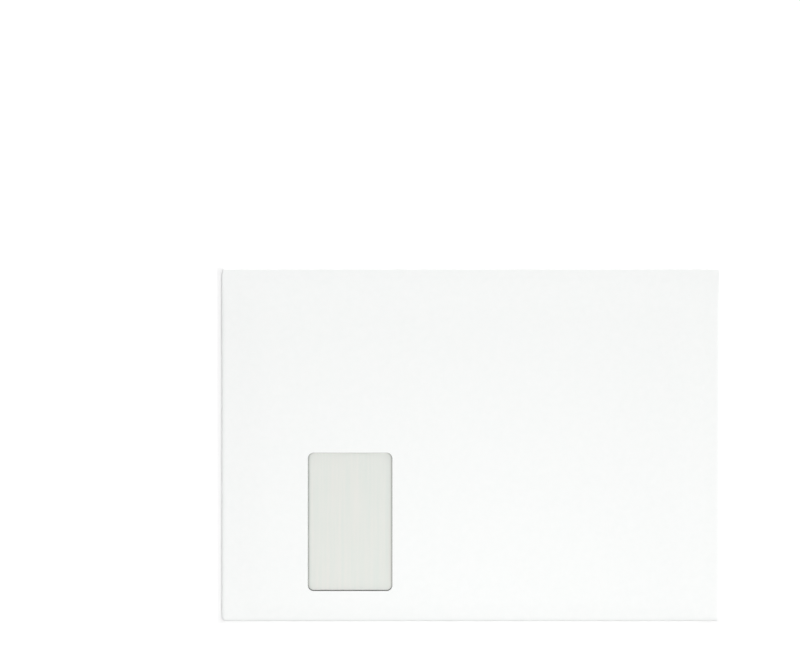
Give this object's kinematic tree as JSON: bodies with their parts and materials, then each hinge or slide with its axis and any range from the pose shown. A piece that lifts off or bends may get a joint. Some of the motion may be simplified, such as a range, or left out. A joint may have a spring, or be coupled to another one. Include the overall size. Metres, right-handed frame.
{
  "type": "window envelope",
  "caption": "Flat landscape C4 envelope of folded white paper with a rounded film window low on its left and a self-adhesive flap folded behind.",
  "frame": {"origin": "middle of the closed envelope, on the surface that it lies on", "axes": "+X along the long side, to the right of someone who reads the front; +Y towards the flap fold; +Z out of the front"},
  "size_m": [0.324, 0.229, 0.0016],
  "materials": {
    "white_paper": "matt white wood-free paper, smooth machine finish, with a pale grey-green security tint on its inside",
    "clear_film": "clear glossy polystyrene film",
    "dry_gum": "dried translucent paper gum",
    "seal_adhesive": "clear pressure-sensitive adhesive",
    "silicone_paper": "smooth silicone-coated release paper"
  },
  "bodies": {
    "root": {"folded_blank": "white_paper", "window_pane": "clear_film", "window_gum": "dry_gum", "side_seam_gum_left": "dry_gum", "side_seam_gum_right": "dry_gum", "flap_adhesive": "seal_adhesive", "release_strip": "silicone_paper"}
  },
  "joints": []
}
